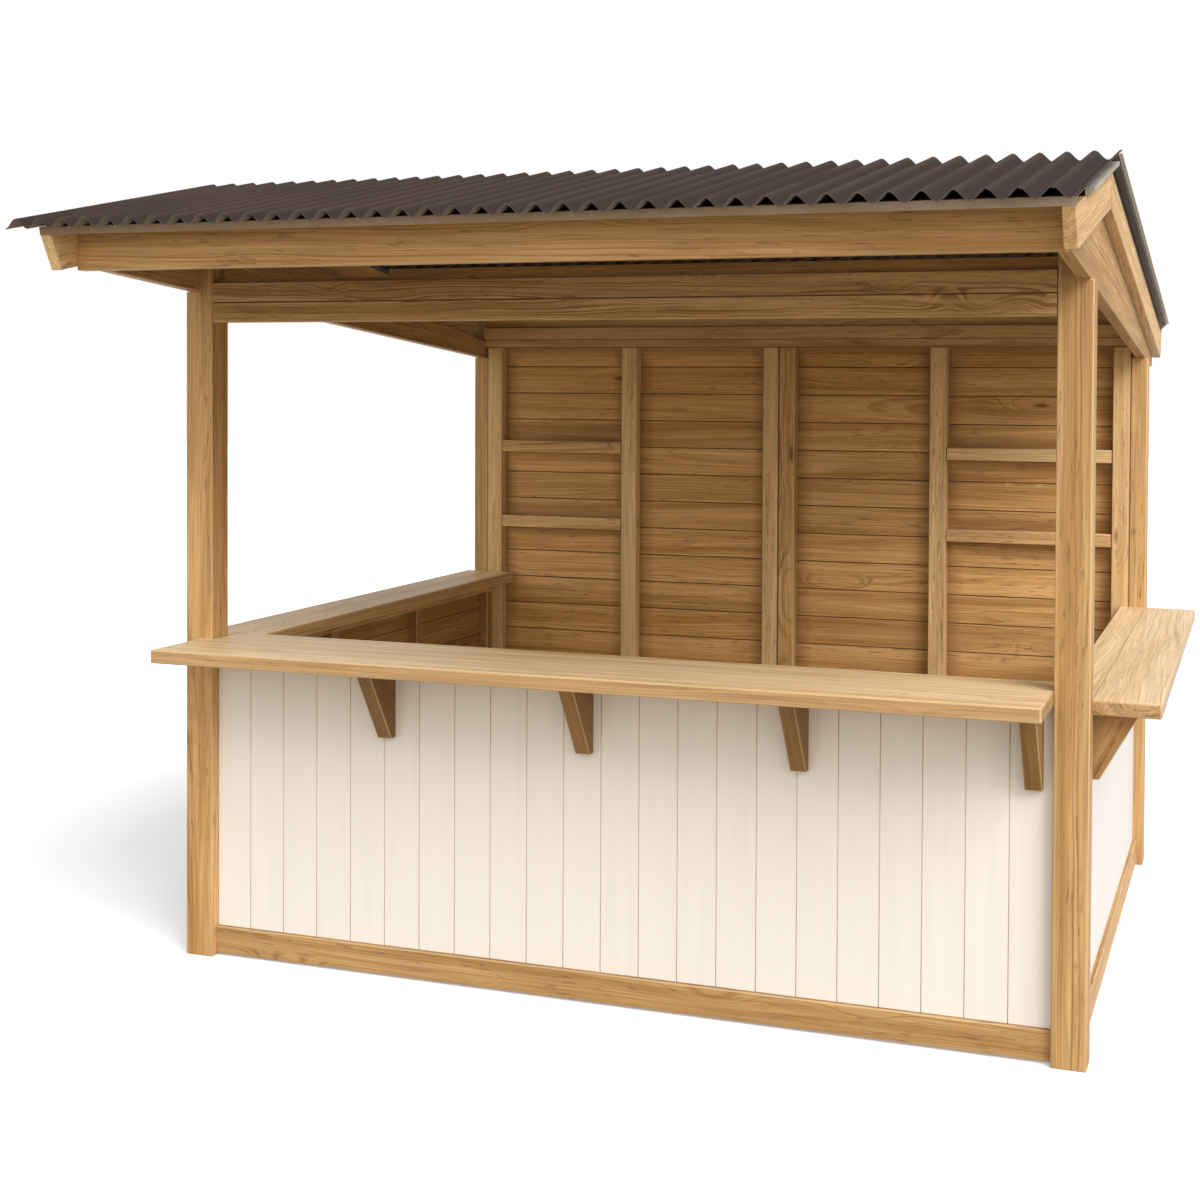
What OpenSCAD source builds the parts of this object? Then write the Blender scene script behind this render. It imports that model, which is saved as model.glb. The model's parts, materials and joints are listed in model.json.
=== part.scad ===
// Open wooden market stall: four corner posts, low boarded walls with serving counters,
// a boarded back wall with ledges, and a low gable roof of corrugated sheet.
// Lengths are in millimetres. The sizes are laid out from the outer front corner of the
// left front post; the whole stall is then moved so that its origin is on the ground,
// under the middle of its outline.

/* [Frame] */
// Width over the corner posts
frame_w = 2950; // [2600:10:3400]
// Depth over the corner posts
frame_d = 2450; // [2150:10:2800]
// Side of the square front posts, and depth of the back posts
post_w = 100; // [90:5:120]
// Width of the back posts
back_post_w = 64; // [64:1:80]
// Height of the underside of the front header
header_z = 2130; // [2000:10:2300]
// Depth of the front header
header_h = 132; // [100:2:160]
// Thickness of the front header and of the plate behind it
header_t = 45; // [35:1:48]
// Height of the front plate above the header
plate_rise = 14; // [10:1:40]
// Height of the front posts above the header
post_rise = 70; // [45:1:90]

/* [Side beams] */
// Height of the side beams' underside over the header's underside, at the front posts
beam_lift = 104; // [85:1:120]
// Slope of the side beams down to the back, in degrees
beam_fall = 4.6; // [3.5:0.02:5]
// Depth of the side beams
beam_h = 110; // [90:1:125]
// Thickness of the side beams and of the rafters on them
beam_t = 40; // [32:1:46]
// Distance of the side beams from the outer post faces
beam_inset = 9; // [2:1:12]
// Least depth of the side beams, at their front ends
beam_tip = 6; // [4:1:10]

/* [Roof] */
// Height of the barge boards' top at the ridge over the side beams' underside at the front
ridge_rise = 329; // [315:1:350]
// Distance of the ridge behind the front of the posts
ridge_y = 250; // [200:10:400]
// Slope of the front of the roof, in degrees
front_pitch = 11.2; // [10.5:0.05:12]
// Slope of the back of the roof, in degrees
back_pitch = 8.95; // [8.4:0.05:9.6]
// Reach of the front barge ends before the posts
front_reach = 740; // [650:5:820]
// Reach of the back barge ends behind the posts
back_reach = 400; // [320:5:480]
// Thickness of the barge boards
barge_t = 36; // [30:1:40]
// Upright depth of the barge boards
barge_h = 112; // [95:1:130]
// Reach of the barge boards beyond the outer post faces
barge_over = 23; // [20:1:30]
// How far the foot of a barge end is cut back
barge_cut = 54; // [30:1:80]
// Thickness of the eave fascia boards
fascia_t = 42; // [30:1:45]
// Distance of the front fascia behind the barge ends
front_fascia_recess = 130; // [110:1:150]
// Distance of the back fascia before the barge ends
back_fascia_recess = 60; // [55:1:90]
// Depth of the fascia boards below the barge tops
fascia_h = 124; // [110:1:130]
// Depth of the purlins below the barge tops
purlin_drop = 46; // [40:1:55]
// Distance of the sheets above the barge tops
sheet_gap = 24; // [20:1:30]
// Width of the purlins and of the ridge beam
purlin_w = 45; // [35:1:60]
// Number of purlins on the back slope
back_purlins = 4; // [3:1:5]

/* [Roof sheets] */
// Pitch of the corrugation
wave_pitch = 79; // [70:1:95]
// Height of the corrugation
wave_h = 28; // [20:1:35]
// Thickness of the sheets
sheet_t = 3; // [2:0.5:5]
// Reach of the sheets past the left barge board
sheet_left = 82; // [50:1:110]
// Reach of the sheets past the right barge board
sheet_right = 27; // [25:1:50]
// Reach of the sheets past the barge ends at the eaves
sheet_eave = 50; // [30:1:80]
// Reach of the front sheet over the ridge
sheet_lap = 30; // [20:1:45]
// Thickness of the metal edge strips
metal_t = 2; // [1:0.5:3]
// Length of the flashing's flange over the side of the roof
flashing_flange = 22; // [15:1:24]
// Depth of the flashing's turned down lip
flashing_lip = 12; // [8:1:18]

/* [Low walls] */
// Height of the counter top
counter_z = 1072; // [1000:2:1120]
// Thickness of the counters and of the left cap
counter_t = 44; // [35:1:55]
// Height of the base rails' underside above the ground
rail_gap = 8; // [4:1:20]
// Depth of the base rails
rail_h = 90; // [70:1:120]
// Distance of the base rails behind the outer post faces
rail_recess = 25; // [15:1:32]
// Distance of the wall boards behind the outer post faces
board_recess = 40; // [34:1:45]
// Thickness of the wall boards
board_t = 18; // [14:1:22]
// Distance of the studs before the inner post faces
stud_inset = 5; // [3:1:8]
// Width of the low wall studs and depth of their top rails
stud_w = 45; // [35:1:60]
// Clear width beside the posts before the first stud
stud_end = 20; // [10:1:60]
// Number of studs in the left wall
left_stud_count = 4; // [3:1:6]

/* [Counters] */
// Reach of the front counter before the posts
counter_front = 286; // [240:2:330]
// Inner edge of the front counter behind the front of the posts
counter_back = 170; // [140:2:220]
// Left end of the front counter from the left post's outer face
counter_left = 50; // [20:2:80]
// Reach of the right counter beyond the posts
side_counter_out = 190; // [160:2:240]
// Height of the front counter above the right counter
side_counter_drop = 30; // [0:2:60]
// Lap of the right counter on the side of the front post
side_counter_lap = 30; // [10:1:60]
// Reach of the left cap beyond the posts
cap_out = 32; // [20:1:50]
// Width of the left cap inside the outer post face
cap_in = 197; // [150:1:240]

/* [Counter brackets] */
// Width of all brackets
bracket_w = 50; // [40:1:60]
// Length of the front brackets under the counter
bracket_len = 190; // [140:2:210]
// Height of the front brackets
bracket_h = 245; // [180:5:300]
// Depth of the front brackets' foot
bracket_tip = 30; // [20:1:50]
// Length of the right brackets under the counter
side_bracket_len = 160; // [120:2:200]
// Height of the right brackets
side_bracket_h = 195; // [150:5:250]
// Depth of the right brackets' foot
side_bracket_tip = 55; // [20:1:70]
// Height of all brackets' upright nose
bracket_nose = 10; // [4:1:20]
// Place of the first front bracket's middle from the left post's outer face
bracket_first = 740; // [600:5:800]
// Clear distance of the last brackets from the posts
bracket_end = 30; // [20:1:80]
// Number of front brackets
front_bracket_count = 4; // [3:1:5]
// Number of brackets on the right side
right_bracket_count = 3; // [2:1:4]

/* [Back wall] */
// Width of the back studs
back_stud_w = 70; // [60:1:80]
// Depth of the back studs and ledges
back_stud_d = 60; // [50:1:70]
// Clear width of the three like bays
back_bay = 578; // [480:2:620]
// Height of the top rail's underside over the side beams' underside
back_rail_rise = 44; // [30:1:55]
// Depth of the top rail
back_rail_h = 34; // [30:1:50]
// Depth of the plate on the top rail
back_plate_h = 57; // [45:1:60]
// Thickness of the plate and header over the back wall
back_plate_t = 45; // [40:1:50]
// Distance by which the back plate stands out before the rail and header
back_plate_out = 14; // [0:1:25]
// Height of the lower ledge's top
ledge_low = 1330; // [1200:5:1450]
// Height of the upper ledge's top
ledge_high = 1670; // [1550:5:1800]
// Thickness of the ledges
ledge_t = 52; // [40:1:70]

/* [Hidden] */

// Colours
frame_wood = "peru";
wall_wood = "burlywood";
counter_wood = "tan";
cream_paint = "antiquewhite";
sheet_brown = "dimgray";
strip_metal = "darkgray";

// Overlap of a cutting shape past the face that it cuts
cut = 5;
// Gap between the sheets and what they lie on
sheet_seat = 0.3;
// Straight steps in one wave of the sheets
wave_steps = 10;

// Slopes as rise over run
front_tan = tan(front_pitch);
back_tan = tan(back_pitch);
beam_tan = tan(beam_fall);

// Heights that follow one another
beam_z = header_z + beam_lift;
ridge_z = beam_z + ridge_rise;
plate_top = header_z + header_h + plate_rise;
post_top = header_z + header_h + post_rise;
counter_under = counter_z - counter_t;
rail_top = rail_gap + rail_h;
top_rail_z = counter_under - stud_w;
side_counter_z = counter_z - side_counter_drop;
side_counter_under = side_counter_z - counter_t;
side_rail_z = side_counter_under - stud_w;

// Places along the depth
inner_front = post_w;
inner_back = frame_d - post_w;
front_end = -front_reach;
back_end = frame_d + back_reach;
front_fascia_y = front_end + front_fascia_recess;
front_fascia_back = front_fascia_y + fascia_t;
back_fascia_y = back_end - back_fascia_recess;
back_fascia_front = back_fascia_y - fascia_t;

// Depth of the low wall studs, and their place behind the outer post face
stud_out = board_recess + board_t;
stud_d = post_w - stud_inset - stud_out;
rail_d = post_w - stud_inset - rail_recess;

// Back wall from the front: studs, then boards; its two panels meet between the double studs
back_board_y = inner_back + back_stud_d;
back_rail_z = beam_under(inner_back) + back_rail_rise;
back_plate_z = back_rail_z + back_rail_h;
back_header_z = back_plate_z + back_plate_h;
left_stud_x = [for (i = [0 : 2]) back_post_w + i * (back_stud_w + back_bay)];
panel_joint = left_stud_x[2] + back_stud_w;
right_stud_x = [panel_joint, panel_joint + back_stud_w + back_bay, frame_w - back_post_w - back_stud_w];

// Side beams and barge boards across the width
beam_inner = beam_inset + beam_t;
barge_inner = barge_t - barge_over;

// Lengths down the slopes, from the ridge line
front_len = (ridge_y - front_end) / cos(front_pitch);
back_len = (back_end - ridge_y) / cos(back_pitch);
sheet_x0 = -barge_over - sheet_left;
sheet_x1 = frame_w + barge_over + sheet_right;
sheet_len = sheet_x1 - sheet_x0;
wave_count = round(sheet_len / wave_pitch - 0.5) + 0.5;
wave_step = sheet_len / (wave_count * wave_steps);
sheet_top = sheet_gap + sheet_seat + wave_h + sheet_t;

// Outline of the whole stall, for its origin
outline_x0 = min(sheet_x0, -cap_out);
outline_x1 = max(sheet_x1, frame_w + side_counter_out);
outline_y0 = ridge_y - (front_len + sheet_eave) * cos(front_pitch) - sheet_top * sin(front_pitch);
outline_y1 = ridge_y + (back_len + sheet_eave) * cos(back_pitch) + sheet_top * sin(back_pitch);
origin = [(outline_x0 + outline_x1) / 2, (outline_y0 + outline_y1) / 2, 0];

// Height of the side beams' underside at a depth, and their top where it isn't cut
function beam_under(y) = beam_z - beam_tan * y;
function beam_top(y) = beam_under(y) + beam_h / cos(beam_fall);

// Height of the barge boards' top and underside at a depth
function roof(y) = ridge_z - (y < ridge_y ? front_tan * (ridge_y - y) : back_tan * (y - ridge_y));
function barge_under(y) = roof(y) - barge_h;

// Height of the plane that lies so far above the barge tops, measured square to the slope
function roof_at(y, n) = roof(y) + n / cos(y < ridge_y ? front_pitch : back_pitch);

// Depths before and behind the ridge at which the barge boards' underside is so high above the
// side beams' underside
function front_depth(rise) =
    (beam_z + rise - ridge_z + barge_h + front_tan * ridge_y) / (front_tan + beam_tan);
function back_depth(rise) =
    (ridge_z - barge_h + back_tan * ridge_y - beam_z - rise) / (back_tan - beam_tan);

// Ends of the side beams, at the fascia boards or where they get too thin
beam_front = max(front_fascia_back, front_depth(beam_tip));
beam_back = min(back_fascia_front, back_depth(beam_tip));

// Feet of the rafters on the side beams, and whether they run out in feather edges there
front_run_out = front_depth(beam_h / cos(beam_fall));
back_run_out = back_depth(beam_h / cos(beam_fall));
front_feather = front_run_out > beam_front;
back_feather = back_run_out < beam_back;
front_foot = max(front_run_out, beam_front);
back_foot = min(back_run_out, beam_back);

// Evenly spaced places from the first to the last
function spread(first, last, count) = [for (i = [0 : count - 1]) first + i * (last - first) / (count - 1)];

front_bracket_last = frame_w - post_w - bracket_end - bracket_w / 2;
front_bracket_x = spread(bracket_first, front_bracket_last, front_bracket_count);
right_bracket_y = spread(
    inner_front + bracket_end + bracket_w / 2,
    inner_back - bracket_end - bracket_w / 2,
    right_bracket_count
);
left_stud_y = spread(
    inner_front + stud_end + stud_w / 2,
    inner_back - stud_end - stud_w / 2,
    left_stud_count
);

// Moves a piece from the corner of the front left post to the stall's origin
module placed() {
    translate(-origin) children();
}

// A box between two corners
module block(low, high) {
    translate(low) cube(high - low);
}

// A board whose outline lies in the depth and height, extruded across the width
module side_board(x, thickness, outline) {
    translate([x, 0, 0]) rotate([90, 0, 90]) linear_extrude(thickness) polygon(outline);
}

// The same board at the left side and, mirrored in place, at the right side
module both_sides(x, thickness, outline) {
    side_board(x, thickness, outline);
    side_board(frame_w - x - thickness, thickness, outline);
}

// Frame of a slope: across the width, down the slope from the ridge, and square to the slope
module on_front_slope() {
    translate([0, ridge_y, ridge_z]) mirror([0, 1, 0]) rotate([-front_pitch, 0, 0]) children();
}

module on_back_slope() {
    translate([0, ridge_y, ridge_z]) rotate([-back_pitch, 0, 0]) children();
}

// Square post with its outer part cut away above the side beam's underside
module notched_post(x, notch_x) {
    top = post_top + cut;
    difference() {
        block([x, 0, 0], [x + post_w, inner_front, post_top]);
        side_board(notch_x, beam_inner + cut, [
            [-cut, beam_under(-cut)],
            [inner_front + cut, beam_under(inner_front + cut)],
            [inner_front + cut, top],
            [-cut, top]
        ]);
    }
}

module front_left_post() {
    color(frame_wood) placed() notched_post(0, -cut);
}

module front_right_post() {
    color(frame_wood) placed() notched_post(frame_w - post_w, frame_w - beam_inner);
}

// Post that ends under the sloping side beam
module back_post(x) {
    side_board(x, back_post_w, [
        [inner_back, 0],
        [frame_d, 0],
        [frame_d, beam_under(frame_d)],
        [inner_back, beam_under(inner_back)]
    ]);
}

module back_left_post() {
    color(frame_wood) placed() back_post(0);
}

module back_right_post() {
    color(frame_wood) placed() back_post(frame_w - back_post_w);
}

// Sloping beam on the posts; where its top would pass the barge boards, it is cut to their underside
module side_beam(x) {
    side_board(x, beam_t, concat(
        [[beam_front, beam_under(beam_front)], [beam_back, beam_under(beam_back)]],
        back_feather ? [[beam_back, barge_under(beam_back)]] : [],
        [[back_foot, beam_top(back_foot)], [front_foot, beam_top(front_foot)]],
        front_feather ? [[beam_front, barge_under(beam_front)]] : []
    ));
}

module left_side_beam() {
    color(frame_wood) placed() side_beam(beam_inset);
}

module right_side_beam() {
    color(frame_wood) placed() side_beam(frame_w - beam_inner);
}

module front_header() {
    color(frame_wood) placed()
        block([post_w, 0, header_z], [frame_w - post_w, header_t, header_z + header_h]);
}

module front_plate() {
    color(frame_wood) placed()
        block([post_w, header_t, header_z + plate_rise], [frame_w - post_w, 2 * header_t, plate_top]);
}

module back_top_rail() {
    color(frame_wood) placed() block(
        [beam_inner, inner_back, back_rail_z],
        [frame_w - beam_inner, back_board_y, back_plate_z]
    );
}

module back_plate() {
    color(frame_wood) placed() block(
        [beam_inner, inner_back - back_plate_out, back_plate_z],
        [frame_w - beam_inner, inner_back + back_plate_t, back_header_z]
    );
}

// Header on the back plate, planed to the slope of the roof
module back_header() {
    y0 = inner_back;
    y1 = inner_back + back_plate_t;
    color(frame_wood) placed() side_board(beam_inner, frame_w - 2 * beam_inner, [
        [y0, back_header_z],
        [y1, back_header_z],
        [y1, roof_at(y1, sheet_gap)],
        [y0, roof_at(y0, sheet_gap)]
    ]);
}

module front_base_rail() {
    color(frame_wood) placed()
        block([post_w, rail_recess, rail_gap], [frame_w - post_w, rail_recess + rail_d, rail_top]);
}

module right_base_rail() {
    color(frame_wood) placed() block(
        [frame_w - rail_recess - rail_d, inner_front, rail_gap],
        [frame_w - rail_recess, inner_back, rail_top]
    );
}

module left_base_rail() {
    color(frame_wood) placed()
        block([rail_recess, inner_front, rail_gap], [rail_recess + rail_d, inner_back, rail_top]);
}

module back_base_rail() {
    color(frame_wood) placed() block(
        [back_post_w, inner_back, rail_gap],
        [frame_w - back_post_w, back_board_y + board_t, rail_top]
    );
}

// Rails on the low wall studs, under the counters and the cap
module low_wall_top_rails() {
    color(frame_wood) placed() {
        block([post_w, stud_out, top_rail_z], [frame_w - post_w, stud_out + stud_d, counter_under]);
        block([stud_out, inner_front, top_rail_z], [stud_out + stud_d, inner_back, counter_under]);
        block(
            [frame_w - stud_out - stud_d, inner_front, side_rail_z],
            [frame_w - stud_out, inner_back, side_counter_under]
        );
    }
}

// Studs behind the front boards, one at each bracket and one at the left post
module front_studs() {
    color(frame_wood) placed()
        for (x = concat([post_w + stud_end + stud_w / 2], front_bracket_x))
            block([x - stud_w / 2, stud_out, rail_top], [x + stud_w / 2, stud_out + stud_d, top_rail_z]);
}

module right_studs() {
    x = frame_w - stud_out - stud_d;
    color(frame_wood) placed()
        for (y = right_bracket_y)
            block([x, y - stud_w / 2, rail_top], [x + stud_d, y + stud_w / 2, side_rail_z]);
}

module left_studs() {
    color(frame_wood) placed()
        for (y = left_stud_y)
            block([stud_out, y - stud_w / 2, rail_top], [stud_out + stud_d, y + stud_w / 2, top_rail_z]);
}

// Upright of the back wall
module back_stud(x) {
    block([x, inner_back, rail_top], [x + back_stud_w, back_board_y, back_rail_z]);
}

module back_left_studs() {
    color(frame_wood) placed() for (x = left_stud_x) back_stud(x);
}

module back_right_studs() {
    color(frame_wood) placed() for (x = right_stud_x) back_stud(x);
}

module front_boards() {
    color(cream_paint) placed()
        block([post_w, board_recess, rail_top], [frame_w - post_w, stud_out, counter_under]);
}

module right_boards() {
    color(cream_paint) placed() block(
        [frame_w - stud_out, inner_front, rail_top],
        [frame_w - board_recess, inner_back, side_counter_under]
    );
}

module left_boards() {
    color(wall_wood) placed()
        block([board_recess, inner_front, rail_top], [stud_out, inner_back, counter_under]);
}

// Boards behind the back studs, up to the top of their rail
module back_panel(x0, x1) {
    block([x0, back_board_y, rail_top], [x1, back_board_y + board_t, back_plate_z]);
}

module back_left_boards() {
    color(wall_wood) placed() back_panel(back_post_w, panel_joint);
}

module back_right_boards() {
    color(wall_wood) placed() back_panel(panel_joint, frame_w - back_post_w);
}

// Front counter, cut away beside and behind the left post
module front_counter() {
    color(counter_wood) placed() difference() {
        block([counter_left, -counter_front, counter_under], [frame_w - post_w, counter_back, counter_z]);
        block([counter_left - cut, 0, counter_under - cut], [post_w, counter_back + cut, counter_z + cut]);
    }
}

// Right counter, cut away at the front post except for its lap
module right_counter() {
    x = frame_w - post_w;
    y = inner_front - side_counter_lap;
    color(counter_wood) placed() difference() {
        block([x, y, side_counter_under], [frame_w + side_counter_out, inner_back, side_counter_z]);
        block([x - cut, y - cut, side_counter_under - cut], [frame_w, inner_front, side_counter_z + cut]);
    }
}

// Cap on the left wall, cut away where the front counter's end lies
module left_cap() {
    color(counter_wood) placed() difference() {
        block([-cap_out, inner_front, counter_under], [cap_in, inner_back, counter_z]);
        block(
            [post_w, inner_front - cut, counter_under - cut],
            [cap_in + cut, counter_back, counter_z + cut]
        );
    }
}

// Bracket that lies flat against the wall and under the counter, with a raked front
module bracket(len, h, tip) {
    rotate([90, 0, 90]) linear_extrude(bracket_w)
        polygon([[0, 0], [0, -h], [-tip, -h], [-len, -bracket_nose], [-len, 0]]);
}

module front_brackets() {
    color(frame_wood) placed()
        for (x = front_bracket_x)
            translate([x - bracket_w / 2, board_recess, counter_under])
                bracket(bracket_len, bracket_h, bracket_tip);
}

module right_brackets() {
    color(frame_wood) placed()
        for (y = right_bracket_y)
            translate([frame_w - board_recess, y - bracket_w / 2, side_counter_under])
                rotate([0, 0, 90]) bracket(side_bracket_len, side_bracket_h, side_bracket_tip);
}

// Two ledges in a bay, flush with the studs
module ledges(x0, x1) {
    for (top = [ledge_low, ledge_high])
        block([x0, inner_back, top - ledge_t], [x1, back_board_y, top]);
}

module left_ledges() {
    color(frame_wood) placed() ledges(left_stud_x[0] + back_stud_w, left_stud_x[1]);
}

module right_ledges() {
    color(frame_wood) placed() ledges(right_stud_x[1] + back_stud_w, right_stud_x[2]);
}

// Barge boards meet in an upright joint at the ridge; their eave ends are cut back at the foot
module front_barge_boards() {
    foot = front_end + barge_cut;
    color(frame_wood) placed() both_sides(-barge_over, barge_t, [
        [front_end, roof(front_end)],
        [foot, roof(foot) - barge_h],
        [ridge_y, ridge_z - barge_h],
        [ridge_y, ridge_z]
    ]);
}

module back_barge_boards() {
    foot = back_end - barge_cut;
    color(frame_wood) placed() both_sides(-barge_over, barge_t, [
        [ridge_y, ridge_z],
        [ridge_y, ridge_z - barge_h],
        [foot, roof(foot) - barge_h],
        [back_end, roof(back_end)]
    ]);
}

// Tapered rafters fill the gables between the side beams and the barge boards. They run out in a
// feather edge on the beam, or end upright where the beam itself ends before that.
module front_rafters() {
    color(frame_wood) placed() both_sides(beam_inset, beam_t, concat(
        front_feather ? [] : [[front_foot, barge_under(front_foot)]],
        [
            [front_foot, beam_top(front_foot)],
            [ridge_y, beam_top(ridge_y)],
            [ridge_y, barge_under(ridge_y)]
        ]
    ));
}

module back_rafters() {
    color(frame_wood) placed() both_sides(beam_inset, beam_t, concat(
        [
            [ridge_y, barge_under(ridge_y)],
            [ridge_y, beam_top(ridge_y)],
            [back_foot, beam_top(back_foot)]
        ],
        back_feather ? [] : [[back_foot, barge_under(back_foot)]]
    ));
}

// Ridge beam between the barge boards, on the peak of the rafters and planed to both slopes
module ridge_beam() {
    y0 = ridge_y - purlin_w / 2;
    y1 = ridge_y + purlin_w / 2;
    color(frame_wood) placed() side_board(barge_inner, frame_w - 2 * barge_inner, [
        [y0, barge_under(ridge_y)],
        [y1, barge_under(ridge_y)],
        [y1, roof_at(y1, sheet_gap)],
        [ridge_y, roof_at(ridge_y, sheet_gap)],
        [y0, roof_at(y0, sheet_gap)]
    ]);
}

// Purlin between the barge boards, its lower side so far down the slope
module purlin(down, top) {
    block([barge_inner, down - purlin_w, -purlin_drop], [frame_w - barge_inner, down, top]);
}

// Eave purlins lie against the fascia boards, under the flanges of the drip edges
front_eave_purlin = (ridge_y - front_fascia_back - sheet_gap * sin(front_pitch)) / cos(front_pitch);
back_eave_purlin = (back_fascia_front - ridge_y - sheet_gap * sin(back_pitch)) / cos(back_pitch);

module purlins() {
    eave_top = sheet_gap - metal_t;
    color(frame_wood) placed() {
        on_front_slope() {
            purlin(front_eave_purlin, eave_top);
            purlin(front_eave_purlin / 2, sheet_gap);
        }
        on_back_slope() {
            purlin(back_eave_purlin, eave_top);
            for (i = [1 : back_purlins - 1])
                purlin(i * back_eave_purlin / back_purlins, sheet_gap);
        }
    }
}

// Fascia between the barge boards, with its top planed to the slope
module fascia(y0, y1) {
    foot = min(roof(y0), roof(y1)) - fascia_h;
    side_board(barge_inner, frame_w - 2 * barge_inner, [
        [y0, foot],
        [y1, foot],
        [y1, roof(y1)],
        [y0, roof(y0)]
    ]);
}

module front_fascia() {
    color(frame_wood) placed() fascia(front_fascia_y, front_fascia_back);
}

module back_fascia() {
    color(frame_wood) placed() fascia(back_fascia_front, back_fascia_y);
}

// Metal angle on the barge ends: a flange under the sheets and an upright face along the eave
module drip_edge(length, purlin_low) {
    x0 = -barge_over;
    x1 = frame_w + barge_over;
    top = sheet_gap;
    translate([x0, 0, 0]) rotate([90, 0, 90]) linear_extrude(x1 - x0) polygon([
        [length, 0],
        [length, top],
        [purlin_low - purlin_w, top],
        [purlin_low - purlin_w, top - metal_t],
        [length - metal_t, top - metal_t],
        [length - metal_t, 0]
    ]);
}

module eave_drip_edges() {
    color(strip_metal) placed() {
        on_front_slope() drip_edge(front_len, front_eave_purlin);
        on_back_slope() drip_edge(back_len, back_eave_purlin);
    }
}

// Folded strip on a right barge board: an upright web, a flange under the sheet and a lip
module gable_strip(start, end) {
    web = frame_w + barge_over;
    edge = web + flashing_flange;
    top = sheet_gap;
    translate([0, end, 0]) rotate([90, 0, 0]) linear_extrude(end - start) polygon([
        [web - metal_t, 0],
        [web, 0],
        [web, top - metal_t],
        [edge - metal_t, top - metal_t],
        [edge - metal_t, top - flashing_lip],
        [edge, top - flashing_lip],
        [edge, top],
        [web - metal_t, top]
    ]);
}

module gable_flashings() {
    clear = metal_t + sheet_seat;
    color(strip_metal) placed() {
        on_front_slope() gable_strip(sheet_gap * front_tan, front_eave_purlin - purlin_w - clear);
        on_back_slope() gable_strip(sheet_gap * back_tan, back_eave_purlin - purlin_w - clear);
    }
}

// Height of the corrugation at a place across the sheet, from its trough
function wave(x) = wave_h / 2 * (1 - cos(360 * x * wave_count / sheet_len));

// Corrugated sheet down a slope, as a waved band of one thickness
module roof_sheet(start, end) {
    steps = wave_count * wave_steps;
    under = [for (i = [0 : steps]) [i * wave_step, wave(i * wave_step)]];
    over = [for (i = [steps : -1 : 0]) [i * wave_step, wave(i * wave_step) + sheet_t]];
    translate([sheet_x0, end, sheet_gap + sheet_seat])
        rotate([90, 0, 0]) linear_extrude(end - start) polygon(concat(under, over));
}

module front_roof_sheet() {
    color(sheet_brown) placed() on_front_slope() roof_sheet(-sheet_lap, front_len + sheet_eave);
}

module back_roof_sheet() {
    color(sheet_brown) placed() on_back_slope() roof_sheet(sheet_lap / 2, back_len + sheet_eave);
}

front_left_post();
front_right_post();
back_left_post();
back_right_post();
left_side_beam();
right_side_beam();
front_header();
front_plate();
back_top_rail();
back_plate();
back_header();
front_base_rail();
right_base_rail();
left_base_rail();
back_base_rail();
low_wall_top_rails();
front_studs();
right_studs();
left_studs();
back_left_studs();
back_right_studs();
front_boards();
right_boards();
left_boards();
back_left_boards();
back_right_boards();
front_counter();
right_counter();
left_cap();
front_brackets();
right_brackets();
left_ledges();
right_ledges();
front_barge_boards();
back_barge_boards();
front_rafters();
back_rafters();
ridge_beam();
purlins();
front_fascia();
back_fascia();
eave_drip_edges();
gable_flashings();
front_roof_sheet();
back_roof_sheet();
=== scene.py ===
"""Dresses the CAD frame of an open wooden market stall in planed timbers, boards and roof sheets.

The CAD nodes give every place and size. Each one is covered by a piece with rounded arrises, whose
points carry the direction of its grain, so that one timber finish follows posts, boards and rafters.
"""

import json
import math
import random

import bmesh
import bpy
from mathutils import Matrix, Vector


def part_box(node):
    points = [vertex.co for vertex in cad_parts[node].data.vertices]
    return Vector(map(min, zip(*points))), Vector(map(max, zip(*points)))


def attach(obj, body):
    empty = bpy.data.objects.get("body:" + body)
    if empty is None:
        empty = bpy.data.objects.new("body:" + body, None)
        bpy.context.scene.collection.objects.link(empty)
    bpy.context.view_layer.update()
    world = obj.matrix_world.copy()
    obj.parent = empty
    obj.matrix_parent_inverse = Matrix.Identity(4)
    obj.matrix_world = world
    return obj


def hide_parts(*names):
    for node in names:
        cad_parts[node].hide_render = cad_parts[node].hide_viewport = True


bl_info = {
    "name": "Wooden Market Stall",
    "version": (1, 0, 0),
    "blender": (4, 5, 0),
    "location": "View3D > Sidebar > Market Stall",
    "description": "Dresses the frame of a market stall in timbers, boards and roof sheets",
    "category": "Object",
}

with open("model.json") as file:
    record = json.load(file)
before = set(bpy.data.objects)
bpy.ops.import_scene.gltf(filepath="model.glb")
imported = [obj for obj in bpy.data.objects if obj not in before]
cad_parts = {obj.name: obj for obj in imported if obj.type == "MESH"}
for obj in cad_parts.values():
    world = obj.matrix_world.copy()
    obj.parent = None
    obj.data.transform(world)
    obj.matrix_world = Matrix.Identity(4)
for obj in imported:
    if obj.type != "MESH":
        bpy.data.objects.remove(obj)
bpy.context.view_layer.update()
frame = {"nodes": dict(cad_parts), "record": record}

X, Y, Z = range(3)
POSTS = ("front_left_post", "front_right_post", "back_left_post", "back_right_post")
BEAMS = ("left_side_beam", "right_side_beam", "front_plate", "back_header")
BACK_RAILS = ("back_top_rail", "back_plate")
LOW_WALL_TIMBERS = (
    "front_base_rail", "right_base_rail", "left_base_rail", "back_base_rail",
    "low_wall_top_rails", "front_studs", "right_studs", "left_studs",
)
BACK_WALL_TIMBERS = ("back_left_studs", "back_right_studs", "left_ledges", "right_ledges")
BRACKETS = ("front_brackets", "right_brackets")
BARGE_BOARDS = ("front_barge_boards", "back_barge_boards")
RAFTERS = ("front_rafters", "back_rafters")
ROOF_TIMBERS = ("ridge_beam", "purlins", "front_fascia", "back_fascia")
METAL_STRIPS = ("eave_drip_edges", "gable_flashings")

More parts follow.
